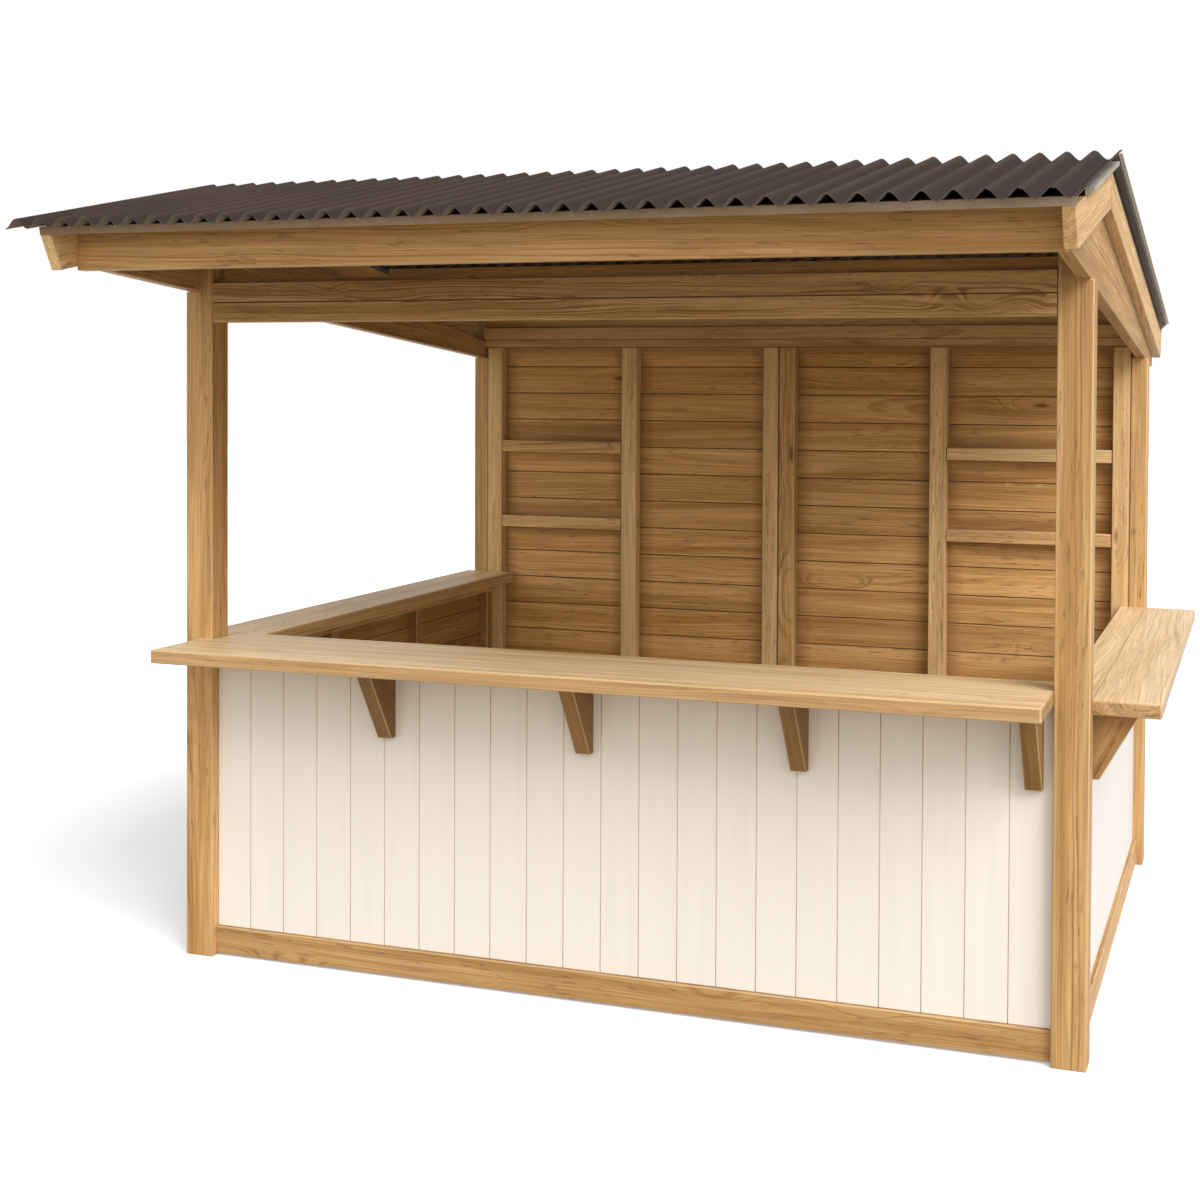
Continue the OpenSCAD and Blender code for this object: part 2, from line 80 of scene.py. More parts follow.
# Edges that turn by less than this stay as they are
SHARP_ANGLE = math.radians(15)
# Triangles of a flat face differ by less than this
FLAT_ANGLE = math.radians(0.2)
# Distance under which corners of a CAD mesh are one point
MERGE_DISTANCE = 1e-5
# Arrises this near to a joint are darkened: dark joints between boards, and painted shadow lines where one
# timber meets another
JOINT_REACH = 0.007
# Breadth of the painted shade on the back wall's boards round the timbers in front of it
CONTACT_SHADE = 0.07
# Share of the pale rim's colour on the roof sheets' other cut edges, paler cut edges with a painted
# highlight, and on their undersides at the eaves, as painted light
EAVE_RIM = 0.06
EAVE_UNDERSIDE = 0.24
# Painted shade on the drip edges from left to right, brown with the wood's reflected colour, and on the back
# flashings from the ridge down, dark: bare metal at 0, brown at half and dark at 1
DRIP_SHADE = (0.38, 0.28)
FLASHING_SHADE = (1.0, 0.8)
HALF_SHADE = 0.5
# Faces of a roof sheet whose normals agree with its own by no more than this share are cut edges, and its
# folds from this angle on are sharp
SHEET_FACING = 0.3
SHEET_FOLD = math.radians(45)
# Pieces whose grain follows that of another piece
GRAIN_GUIDES = {"front_rafters": "right_side_beam", "back_rafters": "right_side_beam"}
# Greatest turn of a pith from its piece, its least and greatest distance from the piece's middle, and the
# length along which the pieces start
PITH_TURN = 0.02
PITH_DISTANCE = (0.05, 0.16)
GRAIN_LENGTH = 40
# Timbers that rise by more than this share are upright, and faces that face along the grain by more than
# this share are ends
UPRIGHT = 0.9
END_FACING = 0.7
# Pieces whose boards show the heart of one log: its pith's distance, and how close the figure is
# along it and across it
HEART_CUTS = {"front_header": (0.01, 2.5, 1.3)}
# Pieces paler or darker than others of their finish, partly in the wood's own tone and partly as painted
# light and
# shade: the header, brackets, left wall and front right post are darkened as painted shade, and the back
# studs, ledges, left cap and front left post are lightened as painted light
TONE_AND_LIGHT_SHIFTS = {
    "front_header": -0.4, "back_left_studs": 0.9, "back_right_studs": 0.9, "left_ledges": 0.8,
    "right_ledges": 0.8, "front_base_rail": -1.0, "front_left_post": 0.2, "front_right_post": -0.5,
    "front_barge_boards": 1.4, "back_barge_boards": 1.4, "front_brackets": -2.0, "right_brackets": -1.2,
    "left_boards": -1.6, "left_studs": -1.4, "left_cap": 0.3, "right_side_beam": -0.5,
}
# How far rings bulge round a knot, how fast their width varies outwards and by how many rings
KNOT_BULGE = 0.04
RING_CHANGE = 45.0
RING_VARIETY = 4.0
# Strength of shakes and dashes among the marks of the wood, of which a knot has 1
SHAKE_STRENGTH = 0.85
DASH_STRENGTH = 0.55
# Range of the fibre noise that shows in the wood's shade and gloss
FIBRE_START, FIBRE_END = 0.3, 0.7
# Depth of a wood's streaks, what bold figure adds to the rings' depth, and the knots' colour in its rings
STREAK_DEPTH = 0.6
FIGURE_DEPTH = 0.45
FIGURE_DARK = 0.4
# Depth of the tint of pale and of dark pieces, which carries part of the painted light and shade of some
# pieces
PALE_TINT = 0.6
DARK_TINT = 0.7
# Depth of knots and shakes in plain wood and in the counters' pale-topped wood, of the painted shade behind
# timbers and of the pale arrises, which are partly wear and partly painted highlights
MARK_DEPTH = 0.8
PALE_TOP_MARK_DEPTH = 0.35
CONTACT_DEPTH = 0.5
ARRIS_DEPTH = 0.45
# Depth of the stain in the painted boards' joints
STAIN_DEPTH = 0.7
# Metallic share of the bare strips
BARE_METAL = 0.3
# Glow of the studio floor, and the height over which the sky's light fades above and below the horizon
FLOOR_GLOW = 0.25
HORIZON = 0.1
SENSOR_WIDTH = 36


def length_setting(name, description, default, low, high):
    """A length that a user may change between two limits."""
    return bpy.props.FloatProperty(
        name=name, description=description, default=default, min=low, max=high, unit="LENGTH")


def angle_setting(name, description, default):
    """An angle that a user may change."""
    return bpy.props.FloatProperty(name=name, description=description, default=default, subtype="ANGLE")


def colour_setting(name, description, default):
    """A colour that a user may change."""
    return bpy.props.FloatVectorProperty(
        name=name, description=description, default=default, size=3, subtype="COLOR")


class StallSizes(bpy.types.PropertyGroup):
    """Sizes of the details that the CAD frame leaves to the looks."""

    arris: length_setting(
        "Timber arris", "Width of the rounded edges of the timbers", 0.0035, 0.0005, 0.008)
    counter_arris: length_setting(
        "Counter arris", "Width of the rounded edges of the counters", 0.006, 0.001, 0.012)
    counter_seam: length_setting(
        "Counter seam", "Width of the slanted edges between the counters' boards", 0.0012, 0.0003, 0.006)
    board_joint: length_setting(
        "Board joint", "Width of the slanted edges at the wooden boards' joints", 0.0025, 0.0005, 0.006)
    painted_joint: length_setting(
        "Painted joint", "Width of the slanted edges at the painted boards' joints", 0.0016, 0.0005, 0.006)
    metal_fold: length_setting(
        "Metal fold", "Width of the rounded folds of the metal strips", 0.0004, 0.0001, 0.001)
    painted_board: length_setting(
        "Painted board", "Cover width of the upright painted boards", 0.125, 0.08, 0.2)
    wall_board: length_setting(
        "Wall board", "Cover width of the level boards of the left and back walls", 0.12, 0.08, 0.2)
    header_board: length_setting(
        "Header board", "Width of the boards of the front header", 0.066, 0.04, 0.14)
    wave_pitch: length_setting(
        "Wave pitch", "Distance between the crests of the roof sheets", 0.079, 0.05, 0.15)
    wave_height: length_setting("Wave height", "Height of the crests over the troughs", 0.028, 0.01, 0.05)
    sheet_thickness: length_setting("Sheet thickness", "Thickness of the roof sheets", 0.003, 0.001, 0.006)
    # The paler strips under the eaves and under the back sheet's side edges are painted light
    eave_reach: length_setting(
        "Eave reach", "Width of the paler strip under the roof sheets' eaves", 0.06, 0.0, 0.2)
    sheet_rim: length_setting(
        "Sheet rim", "Width of the pale strip under the back roof sheet's side edges", 0.008, 0.0, 0.03)
    wave_steps: bpy.props.IntProperty(
        name="Wave steps", description="Straight steps in one wave of the roof sheets",
        default=16, min=8, max=32)
    sheet_rows: bpy.props.IntProperty(
        name="Sheet rows", description="Rows of faces down a roof sheet", default=6, min=1, max=40)


class StallColours(bpy.types.PropertyGroup):
    """Colours of the finishes."""

    frame_pale: colour_setting("Frame pale", "Early wood of the frame timbers", (0.6, 0.37, 0.165))
    frame_deep: colour_setting("Frame deep", "Late wood of the frame timbers", (0.33, 0.155, 0.032))
    wall_pale: colour_setting("Wall pale", "Early wood of the wall boards", (0.68, 0.4, 0.16))
    wall_deep: colour_setting("Wall deep", "Late wood of the wall boards", (0.37, 0.175, 0.038))
    counter_pale: colour_setting("Counter pale", "Early wood of the counters", (0.48, 0.3, 0.136))
    counter_deep: colour_setting("Counter deep", "Late wood of the counters", (0.325, 0.18, 0.068))
    # The counters' paler tops are partly sun-faded wood and partly painted light from above
    counter_top: colour_setting(
        "Counter top", "Early wood of the counters' bleached tops", (0.89, 0.67, 0.42))
    counter_top_deep: colour_setting(
        "Counter top deep", "Late wood of the counters' bleached tops", (0.66, 0.405, 0.17))
    # Also paints the shade behind the back wall's timbers and the shadow lines along the back rails, studs,
    # ledges and rafters
    joint: colour_setting("Joint", "Shaded joints between wooden boards", (0.13, 0.06, 0.02))
    knot: colour_setting("Knot", "Knots and shakes in the wood", (0.1, 0.045, 0.016))
    # Pale arrises are partly wear and partly painted highlights; pale pieces are tinted towards this colour
    # too
    worn: colour_setting("Worn", "Pale worn arrises of the timbers", (0.67, 0.5, 0.285))
    paint: colour_setting("Paint", "Cream paint of the upright boards", (0.8, 0.77, 0.735))
    paint_joint: colour_setting("Paint joint", "Stained paint in the joints", (0.47, 0.37, 0.26))
    sheet: colour_setting("Sheet", "Upper side of the roof sheets", (0.036, 0.023, 0.0195))
    sheet_crest: colour_setting("Sheet crest", "Worn crests of the roof sheets", (0.06, 0.04, 0.0345))
    sheet_under: colour_setting("Sheet underside", "Underside of the roof sheets", (0.08, 0.066, 0.05))
    # Paler cut edges with a painted highlight; a share of it is painted light under the eaves
    sheet_rim: colour_setting("Sheet rim", "Side edges of the back roof sheet", (0.86, 0.88, 0.9))
    metal: colour_setting("Metal", "Galvanised edge strips", (0.55, 0.52, 0.47))
    metal_dull: colour_setting("Dull metal", "Weathered patches of the edge strips", (0.4, 0.35, 0.27))
    # Painted shade on the strips: brown with the wood's reflected colour on the drip edges, dark on the back
    # flashings
    metal_brown: colour_setting("Metal brown", "Stained strips along the eaves", (0.26, 0.165, 0.09))
    metal_dark: colour_setting("Dark metal", "Dark strips along the back slope", (0.045, 0.03, 0.02))
    floor: colour_setting("Floor", "Studio floor", (0.92, 0.94, 1.0))


class StallStudio(bpy.types.PropertyGroup):
    """Camera and light of the studio."""

    lens: bpy.props.FloatProperty(
        name="Lens", description="Focal length", default=54.42, min=20, max=200, unit="CAMERA")
    shift: bpy.props.FloatProperty(
        name="Shift", description="Upright shift of the picture", default=-0.1504, min=-0.5, max=0.5)
    place: bpy.props.FloatVectorProperty(
        name="Place", description="Place of the camera", default=(1.9004, -6.2819, 1.9427), size=3,
        subtype="TRANSLATION", unit="LENGTH")
    heading: angle_setting("Heading", "Turn of the camera from the stall's depth to the left", 0.3548)
    tilt: angle_setting("Tilt", "Angle of the camera below the horizon", 0.0215)
    roll: angle_setting("Roll", "Turn of the camera about its own view", 0.0047)
    sky: colour_setting("Sky", "Even light from above and all round", (0.56, 0.55, 0.53))
    bounce: colour_setting("Bounce", "Dim light from below", (0.36, 0.28, 0.175))
    backdrop: colour_setting("Backdrop", "Colour behind the stall", (1.0, 1.0, 1.0))
    sun: bpy.props.FloatProperty(
        name="Sun", description="Strength of the soft light from the right", default=3.0, min=0,
        max=10)
    sun_spread: angle_setting("Sun spread", "Angle over which the soft light spreads", math.radians(40))
    sun_from: bpy.props.FloatVectorProperty(
        name="Sun from", description="Direction from which the soft light comes",
        default=(0.6, -0.42, 0.68), size=3, subtype="DIRECTION")
    fill: bpy.props.FloatProperty(
        name="Fill", description="Strength of the low light that reaches the back wall", default=1.5,
        min=0, max=10)
    fill_colour: colour_setting("Fill colour", "Colour of the low light", (1.0, 0.93, 0.8))
    fill_spread: angle_setting("Fill spread", "Angle over which the low light spreads", math.radians(70))
    fill_from: bpy.props.FloatVectorProperty(
        name="Fill from", description="Direction from which the low light comes",
        default=(0.2, -0.95, 0.2), size=3, subtype="DIRECTION")
    floor_reach: bpy.props.FloatProperty(
        name="Floor reach", description="Half the side of the floor", default=40, min=5, unit="LENGTH")


class ShaderTree:
    """A node tree with short calls that add nodes and join them."""

    def __init__(self, tree):
        self.tree = tree

    def put(self, socket, value):
        """Links a socket to an output, or sets its value."""
        if isinstance(value, bpy.types.NodeSocket):
            self.tree.links.new(value, socket)
        else:
            socket.default_value = value

    def fill(self, node, sockets):
        """Links or sets some sockets of a node."""
        for name, value in sockets.items():
            self.put(node.inputs[name], value)

    def add(self, kind, sockets=None, **settings):
        """Adds a node with its settings and the values or links of its sockets."""
        node = self.tree.nodes.new(kind)
        for name, value in settings.items():
            setattr(node, name, value)
        self.fill(node, sockets or {})
        return node

    def maths(self, operation, a, b=0.0):
        """Result of a sum on two values."""
        return self.add("ShaderNodeMath", {0: a, 1: b}, operation=operation).outputs[0]

    def product(self, a, b):
        """Product of two values."""
        return self.maths("MULTIPLY", a, b)

    def vector_maths(self, operation, a, b):
        """Result of a sum on two vectors."""
        return self.add("ShaderNodeVectorMath", {0: a, 1: b}, operation=operation).outputs[0]

    def blend(self, factor, a, b, kind="MIX"):
        """Mixture of two colours."""
        node = self.add("ShaderNodeMix", {0: factor, 6: a, 7: b}, data_type="RGBA", blend_type=kind)
        return node.outputs[2]

    def rise(self, value, start, end):
        """Smooth step from 0 at the start to 1 at the end."""
        node = self.add(
            "ShaderNodeMapRange", {"Value": value, "From Min": start, "From Max": end},
            interpolation_type="SMOOTHSTEP")
        return node.outputs[0]

    def between(self, value, low, high, start=0.0, end=1.0, clamp=True):
        """Even step from a low result at the start to a high one at the end."""
        node = self.add("ShaderNodeMapRange", {
            "Value": value, "From Min": start, "From Max": end, "To Min": low, "To Max": high}, clamp=clamp)
        return node.outputs[0]

    def noise(self, vector, scale, detail, roughness=0.5, output="Fac"):
        """Noise texture on a stretched vector."""
        stretched = self.add("ShaderNodeMapping", {"Vector": vector, "Scale": scale})
        node = self.add("ShaderNodeTexNoise", {
            "Vector": stretched.outputs[0], "Scale": 1.0, "Detail": detail, "Roughness": roughness})
        return node.outputs[output]

    def attribute(self, name, output="Fac"):
        """A value kept on the mesh."""
        return self.add("ShaderNodeAttribute", attribute_name=name).outputs[output]

    def bump(self, height, strength, distance):
        """Normal of a surface with small heights."""
        node = self.add("ShaderNodeBump", {"Height": height, "Strength": strength, "Distance": distance})
        return node.outputs[0]


def opaque(colour):
    """A colour with its alpha."""
    return (*colour, 1.0)


def new_group(name, inputs, outputs):
    """A shader node group with its tree, its input sockets by name and its output node."""
    group = bpy.data.node_groups.new(name, "ShaderNodeTree")
    for socket, kind in inputs:
        group.interface.new_socket(socket, in_out="INPUT", socket_type=kind)
    for socket in outputs:
        group.interface.new_socket(socket, in_out="OUTPUT", socket_type="NodeSocketFloat")
    tree = ShaderTree(group)
    given = tree.add("NodeGroupInput").outputs
    return group, tree, given, tree.add("NodeGroupOutput")


def timber_grain_group():
    """Growth rings, streaks, fibres, knots, shakes and dashes, on coordinates along the grain."""
    group = bpy.data.node_groups.get("Timber Grain")
    if group:
        return group
    group, tree, given, result = new_group(
        "Timber Grain",
        [("Grain", "NodeSocketVector"), ("Ring Spacing", "NodeSocketFloat"), ("Wander", "NodeSocketFloat")],
        ["Rings", "Streaks", "Fibre", "Marks"])
    grain = given["Grain"]

    drift = tree.noise(grain, (0.8, 5.0, 5.0), 2.0, output="Color")
    drift = tree.vector_maths("SUBTRACT", drift, (0.5, 0.5, 0.5))
    drift = tree.add("ShaderNodeVectorMath", {0: drift, "Scale": given["Wander"]}, operation="SCALE")
    bent = tree.vector_maths("ADD", grain, drift.outputs[0])

    cells = tree.add("ShaderNodeMapping", {"Vector": grain, "Scale": (2.0, 8.0, 8.0)}).outputs[0]
    knots = tree.add("ShaderNodeTexVoronoi", {"Vector": cells, "Scale": 1.0})
    chosen = tree.add("ShaderNodeSeparateColor", {"Color": knots.outputs["Color"]}).outputs["Red"]
    chosen = tree.rise(chosen, 0.5, 0.75)
    knot = tree.product(tree.rise(knots.outputs["Distance"], 0.1, 0.03), chosen)
    swell = tree.product(tree.rise(knots.outputs["Distance"], 0.5, 0.0), chosen)

    # Rings lie round the pith, which runs along the first axis, bulge round the knots and vary in width
    across = tree.vector_maths("MULTIPLY", bent, (0.0, 1.0, 1.0))
    radius = tree.add("ShaderNodeVectorMath", {0: across}, operation="LENGTH").outputs["Value"]
    radius = tree.maths("ADD", radius, tree.product(swell, KNOT_BULGE))
    years = tree.add("ShaderNodeTexNoise", {
        "W": tree.product(radius, RING_CHANGE), "Scale": 1.0, "Detail": 1.0}, noise_dimensions="1D")
    years = tree.product(years.outputs["Fac"], RING_VARIETY)
    years = tree.maths("ADD", years, tree.maths("DIVIDE", radius, given["Ring Spacing"]))
    phase = tree.maths("FRACT", years)
    late = tree.product(tree.rise(phase, 0.45, 0.9), tree.rise(phase, 1.0, 0.93))
    clear = tree.noise(bent, (0.6, 26.0, 26.0), 1.0)
    late = tree.product(late, tree.rise(clear, 0.3, 0.65))

    streaks = tree.noise(bent, (0.7, 22.0, 22.0), 5.0, 0.62)
    fibre = tree.noise(bent, (2.2, 150.0, 150.0), 3.0, 0.6)
    dashes = tree.rise(tree.noise(bent, (14.0, 130.0, 130.0), 1.0), 0.62, 0.69)
    crowded = tree.rise(tree.noise(grain, (1.5, 12.0, 12.0), 1.0), 0.35, 0.6)
    dashes = tree.product(dashes, crowded)

    # Shakes run along some of the rings
    shake = tree.rise(phase, 0.14, 0.03)
    some = tree.rise(tree.noise(grain, (1.0, 15.0, 15.0), 1.0), 0.6, 0.7)
    shake = tree.product(shake, some)
    broken = tree.rise(tree.noise(bent, (9.0, 30.0, 30.0), 2.0), 0.42, 0.56)
    shake = tree.product(shake, broken)

    marks = tree.maths("MAXIMUM", knot, tree.product(shake, SHAKE_STRENGTH))
    marks = tree.maths("MAXIMUM", marks, tree.product(dashes, DASH_STRENGTH))
    tree.fill(result, {"Rings": late, "Streaks": streaks, "Fibre": fibre, "Marks": marks})
    return group


def new_material(name):
    """A material with an empty tree, its Principled shader and its output joined."""
    material = bpy.data.materials.new(name)
    material.use_nodes = True
    material.node_tree.nodes.clear()
    tree = ShaderTree(material.node_tree)
    shader = tree.add("ShaderNodeBsdfPrincipled")
    tree.add("ShaderNodeOutputMaterial", {"Surface": shader.outputs[0]})
    return material, tree, shader


def grain_masks(tree, ring_spacing, wander):
    """The timber grain group, placed in a material and fed with the piece's own grain."""
    node = tree.add("ShaderNodeGroup", node_tree=timber_grain_group())
    tree.fill(node, {
        "Grain": tree.attribute("grain", "Vector"), "Ring Spacing": ring_spacing, "Wander": wander})
    return node.outputs


def timber_finish(name, pale, deep, ring_spacing, ring_depth, gloss, joint_depth=0.85, tops=None):
    """Oiled wood: rings and streaks from pale to deep, each board in its own tone, tinted edges; tone and
    edges carry painted light and shade on some pieces.

    Tops are the early and late wood of upward faces, paler partly as sun-faded wood and partly as painted
    light from above.
    """
    colours = bpy.context.scene.stall_colours
    material, tree, shader = new_material(name)
    masks = grain_masks(tree, ring_spacing, wander=0.05)
    pale, deep = opaque(pale), opaque(deep)
    # Faces that look upwards are paler, partly as sun-faded wood and partly as painted light from above
    if tops:
        normal = tree.add("ShaderNodeNewGeometry").outputs["Normal"]
        upward = tree.add("ShaderNodeSeparateXYZ", {"Vector": normal}).outputs["Z"]
        bleached_and_lit = tree.rise(upward, 0.5, 0.95)
        pale = tree.blend(bleached_and_lit, pale, opaque(tops[0]))
        deep = tree.blend(bleached_and_lit, deep, opaque(tops[1]))
    colour = tree.blend(tree.product(tree.rise(masks["Streaks"], 0.36, 0.7), STREAK_DEPTH), pale, deep)
    figure = tree.attribute("figure")
    depth = tree.maths("ADD", tree.product(figure, FIGURE_DEPTH), ring_depth)
    colour = tree.blend(tree.product(masks["Rings"], depth), colour, deep)
    bold = tree.product(masks["Rings"], tree.product(figure, FIGURE_DARK))
    colour = tree.blend(bold, colour, opaque(colours.knot))

    # Each piece's tone, shifted on some pieces as painted light and shade, tints and brightens its colour
    tone = tree.attribute("tone")
    colour = tree.blend(tree.product(tree.rise(tone, 1.0, 2.2), PALE_TINT), colour, opaque(colours.worn))
    colour = tree.blend(tree.product(tree.rise(tone, 0.0, -1.2), DARK_TINT), colour, deep)
    shade = tree.between(masks["Fibre"], 0.76, 1.18, FIBRE_START, FIBRE_END)
    shade = tree.product(shade, tree.between(tone, 0.92, 1.1, clamp=False))
    shade = tree.add("ShaderNodeCombineColor", {0: shade, 1: shade, 2: shade}).outputs[0]
    colour = tree.blend(1.0, colour, shade, "MULTIPLY")

    # Knots and shakes; painted shade behind the back wall's timbers; pale arrises, partly wear and partly
    # painted highlights; and dark joints, which along the back rails, studs, ledges and rafters are painted
    # shadow lines
    for mask, mask_depth, tint in (
            (masks["Marks"], PALE_TOP_MARK_DEPTH if tops else MARK_DEPTH, colours.knot),
            (tree.attribute("shade"), CONTACT_DEPTH, colours.joint),
            (tree.attribute("arris"), ARRIS_DEPTH, colours.worn),
            (tree.attribute("joint"), joint_depth, colours.joint)):
        colour = tree.blend(tree.product(mask, mask_depth), colour, opaque(tint))
    tree.fill(shader, {
        "Base Color": colour,
        "Roughness": tree.between(masks["Fibre"], 0.72 - gloss, 0.6 - gloss, FIBRE_START, FIBRE_END),
        "Specular IOR Level": 0.2 + gloss,
        "Normal": tree.bump(masks["Fibre"], strength=0.35, distance=0.0008)})
    return material


def painted_finish(name, paint, joint):
    """Satin paint over wood: the grain shows faintly, and the joints are stained."""
    material, tree, shader = new_material(name)
    masks = grain_masks(tree, ring_spacing=0.008, wander=0.03)
    faint = tuple(part * 0.96 for part in paint)
    colour = tree.blend(tree.rise(masks["Streaks"], 0.4, 0.75), opaque(paint), opaque(faint))
    stain_and_shade = tree.product(tree.attribute("joint"), STAIN_DEPTH)
    tree.fill(shader, {
        "Base Color": tree.blend(stain_and_shade, colour, opaque(joint)), "Roughness": 0.48,
        "Normal": tree.bump(masks["Fibre"], strength=0.15, distance=0.0005)})
    return material


def sheet_finish(name, upper, crest, under, rim):
    """Matt fibre sheet: speckled, worn on its crests, paler below, and paler where its edges are marked,
    partly as cut edges and partly as painted light.
    """
    material, tree, shader = new_material(name)
    place = tree.add("ShaderNodeTexCoord").outputs["Object"]
    speckle = tree.noise(place, (420.0, 420.0, 420.0), 2.0, 0.6)
    patches = tree.noise(place, (3.0, 1.2, 3.0), 3.0)
    worn = tree.rise(tree.attribute("crest"), 0.55, 1.0)
    worn = tree.product(worn, tree.rise(patches, 0.25, 0.65))
    colour = tree.blend(worn, opaque(upper), opaque(crest))
    dark = tuple(part * 0.7 for part in upper)
    colour = tree.blend(tree.rise(speckle, 0.5, 0.75), colour, opaque(dark))
    colour = tree.blend(tree.attribute("under"), colour, opaque(under))
    # Marked rims: paler cut edges with painted highlights, and painted light under the eaves
    colour = tree.blend(tree.attribute("rim"), colour, opaque(rim))
    tree.fill(shader, {
        "Base Color": colour, "Roughness": 0.8, "Specular IOR Level": 0.15,
        "Normal": tree.bump(speckle, strength=0.3, distance=0.0006)})
    return material


def metal_finish(name, bright, dull, brown, dark):
    """Galvanised strips with soft spangle and weathered patches, brown or dark where painted shade is marked
    on them.
    """
    material, tree, shader = new_material(name)
    place = tree.add("ShaderNodeTexCoord").outputs["Object"]
    spangle = tree.add("ShaderNodeTexVoronoi", {"Vector": place, "Scale": 90.0}).outputs["Color"]
    spangle = tree.add("ShaderNodeSeparateColor", {"Color": spangle}).outputs["Red"]
    patches = tree.noise(place, (4.0, 4.0, 14.0), 3.0)
    mixed = tree.maths("ADD", tree.product(spangle, 0.25), tree.rise(patches, 0.35, 0.7))
    colour = tree.blend(mixed, opaque(bright), opaque(dull))
    # Painted shade: brown at half, with the wood's reflected colour, dark at 1, and less metallic
    stain_and_shade = tree.attribute("stain_and_shade")
    shade_share = tree.rise(stain_and_shade, 0.0, HALF_SHADE)
    colour = tree.blend(shade_share, colour, opaque(brown))
    colour = tree.blend(tree.rise(stain_and_shade, HALF_SHADE, 1.0), colour, opaque(dark))
    tree.fill(shader, {
        "Base Color": colour, "Roughness": tree.between(patches, 0.4, 0.6), "Specular IOR Level": 0.15,
        "Metallic": tree.product(tree.maths("SUBTRACT", 1.0, shade_share), BARE_METAL)})
    return material


def floor_finish(name, colour):
    """Even studio floor with a trace of mottling."""
    material, tree, shader = new_material(name)
    place = tree.add("ShaderNodeTexCoord").outputs["Object"]
    mottle = tree.noise(place, (2.0, 2.0, 2.0), 2.0)
    darker = tuple(part * 0.98 for part in colour)
    tree.fill(shader, {
        "Base Color": tree.blend(mottle, opaque(colour), opaque(darker)), "Roughness": 0.9,
        "Emission Color": opaque(colour), "Emission Strength": FLOOR_GLOW})
    return material


def finish(slot):
    """The material of a slot of the record, made when it is first asked for."""
    name = f"{slot}_finish"
    made = bpy.data.materials.get(name)
    if made:
        return made
    c = bpy.context.scene.stall_colours
    if slot == "frame_wood":
        return timber_finish(name, c.frame_pale, c.frame_deep, ring_spacing=0.017, ring_depth=0.75, gloss=0.1)
    if slot == "wall_boards":
        return timber_finish(name, c.wall_pale, c.wall_deep, ring_spacing=0.019, ring_depth=0.7, gloss=0.05)
    if slot == "counter_wood":
        return timber_finish(
            name, c.counter_pale, c.counter_deep, ring_spacing=0.018, ring_depth=0.8, gloss=0.25,
            joint_depth=0.5, tops=(c.counter_top, c.counter_top_deep))
    if slot == "painted_boards":
        return painted_finish(name, c.paint, c.paint_joint)
    if slot == "roof_sheet":
        return sheet_finish(name, c.sheet, c.sheet_crest, c.sheet_under, c.sheet_rim)
    if slot == "metal_trim":
        return metal_finish(name, c.metal, c.metal_dull, c.metal_brown, c.metal_dark)
    raise ValueError(f"no finish is made for the slot {slot}")


def slot_of(node):
    """The record's material slot of a CAD node."""
    for part in frame["record"]["subparts"]:
        if part["node"] == node:
            return part["material_slot"]
    raise ValueError(f"the record has no node {node}")


def corners(node):
    """Lowest and highest corner of a CAD node."""
    low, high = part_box(node)
    return Vector(low), Vector(high)


def ridge_place():
    """Place of the ridge along the depth."""
    low, high = corners("ridge_beam")
    return (low.y + high.y) / 2


def between(low, high, axis, start, end):
    """The corners of the part of a box between two places on an axis."""
    first, last = low.copy(), high.copy()
    first[axis], last[axis] = start, end
    return first, last


def add_board(bm, low, high):
    """Adds a box between two corners."""
    verts = bmesh.ops.create_cube(bm, size=1)["verts"]
    bmesh.ops.scale(bm, vec=high - low, verts=verts)
    bmesh.ops.translate(bm, vec=(low + high) / 2, verts=verts)


def add_boarding(bm, node, axis, width):
    """Adds boards of about one width, side by side along an axis, and gives the places between them."""
    low, high = corners(node)
    reach = high[axis] - low[axis]
    count = max(1, round(reach / width))
    edges = [low[axis] + i * reach / count for i in range(count + 1)]
    for start, stop in zip(edges, edges[1:]):
        add_board(bm, *between(low, high, axis, start, stop))
    return edges[1:-1]


def add_copy(bm, node):
    """Adds a copy of a CAD node, with its loose triangles merged to whole faces."""
    bm.from_mesh(frame["nodes"][node].data)
    bmesh.ops.remove_doubles(bm, verts=bm.verts, dist=MERGE_DISTANCE)
    bmesh.ops.dissolve_limit(bm, angle_limit=FLAT_ANGLE, verts=bm.verts, edges=bm.edges)


def beside(edge, joints):
    """Whether an edge lies on one of the planes across some axes."""
    return any(
        all(abs(vert.co[axis] - place) < MERGE_DISTANCE for vert in edge.verts)
        for axis, places in joints for place in places)


def bevel_edges(bm, edges, width, segments):
    """Bevels some of the sharp edges and marks the new faces as arrises."""
    arris = bm.faces.layers.float.get("arris") or bm.faces.layers.float.new("arris")
    sharp = [e for e in edges if e.is_manifold and e.calc_face_angle() > SHARP_ANGLE]
    made = bmesh.ops.bevel(
        bm, geom=sharp, offset=width, offset_type="OFFSET", affect="EDGES", segments=segments,
        profile=0.5, material=-1, clamp_overlap=True)
    for face in made["faces"]:
        face[arris] = 1.0
        face.smooth = True


def loose_solids(bm):
    """The points of each separate solid, in the order of the mesh."""
    seen = set()
    for start in bm.verts:
        if start in seen:
            continue
        seen.add(start)
        solid = [start]
        for vert in solid:
            for edge in vert.link_edges:
                other = edge.other_vert(vert)
                if other not in seen:
                    seen.add(other)
                    solid.append(other)
        yield solid


def longest_edge(verts):
    """Direction of the longest edge at some points, with its greatest part positive."""
    reach, along = 0.0, Vector((1, 0, 0))
    for vert in verts:
        for edge in vert.link_edges:
            line = edge.other_vert(vert).co - vert.co
            if line.length > reach + MERGE_DISTANCE:
                reach, along = line.length, line.normalized()
    return along if max(along, key=abs) > 0 else -along


